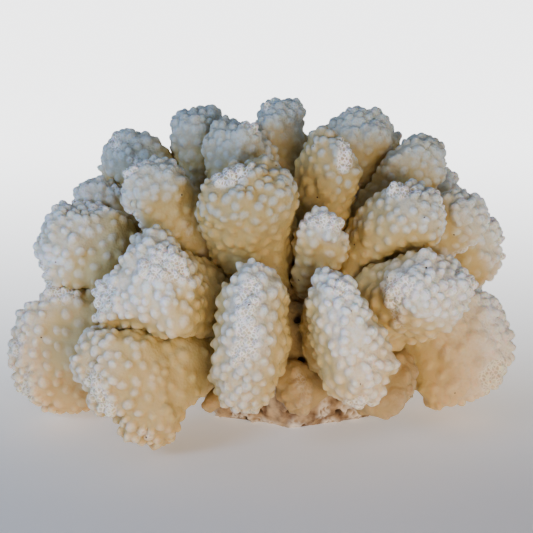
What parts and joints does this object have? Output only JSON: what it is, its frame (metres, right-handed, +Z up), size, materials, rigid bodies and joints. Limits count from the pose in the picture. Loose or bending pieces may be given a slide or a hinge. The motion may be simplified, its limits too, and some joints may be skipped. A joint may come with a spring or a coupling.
{
  "type": "cauliflower coral",
  "caption": "Bleached branching coral colony, a low dome of knobbed lobes on a holdfast cut off flat, to rest on its cut.",
  "frame": {"origin": "on the flat cut under the holdfast, below the middle of the colony", "axes": "+Z up out of the cut; the side seen in the picture faces -Y, so +X is to its right"},
  "size_m": [0.1972, 0.1753, 0.1207],
  "materials": {
    "bleached_coral": "matte, finely porous aragonite skeleton",
    "holdfast_coral": "rough, pitted old skeleton"
  },
  "bodies": {
    "root": {"holdfast": "holdfast_coral", "front_blade": "bleached_coral", "front_right_blade": "bleached_coral", "centre_finger": "bleached_coral", "middle_left_peak": "bleached_coral", "front_left_fan": "bleached_coral", "right_shoulder": "bleached_coral", "left_fan": "bleached_coral", "right_fan": "bleached_coral", "centre_crest": "bleached_coral", "left_shoulder": "bleached_coral", "upper_left_knuckle": "bleached_coral", "left_rear_knuckle": "bleached_coral", "upper_left_crest": "bleached_coral", "top_left_front": "bleached_coral", "top_left_crest": "bleached_coral", "top_knob": "bleached_coral", "top_right_front": "bleached_coral", "top_right_crest": "bleached_coral", "upper_right_crest": "bleached_coral", "right_crest": "bleached_coral", "right_crest_end": "bleached_coral", "right_rear_knuckle": "bleached_coral", "right_rear_shoulder": "bleached_coral", "low_right_lobe": "bleached_coral", "left_stub": "bleached_coral", "middle_stub": "bleached_coral", "back_low_right": "bleached_coral", "back_low_middle_right": "bleached_coral", "back_low_middle_left": "bleached_coral", "back_low_left": "bleached_coral", "back_right": "bleached_coral", "back_middle_right": "bleached_coral", "back_middle_left": "bleached_coral", "back_left": "bleached_coral", "back_top_right": "bleached_coral", "back_top_left": "bleached_coral"}
  },
  "joints": []
}
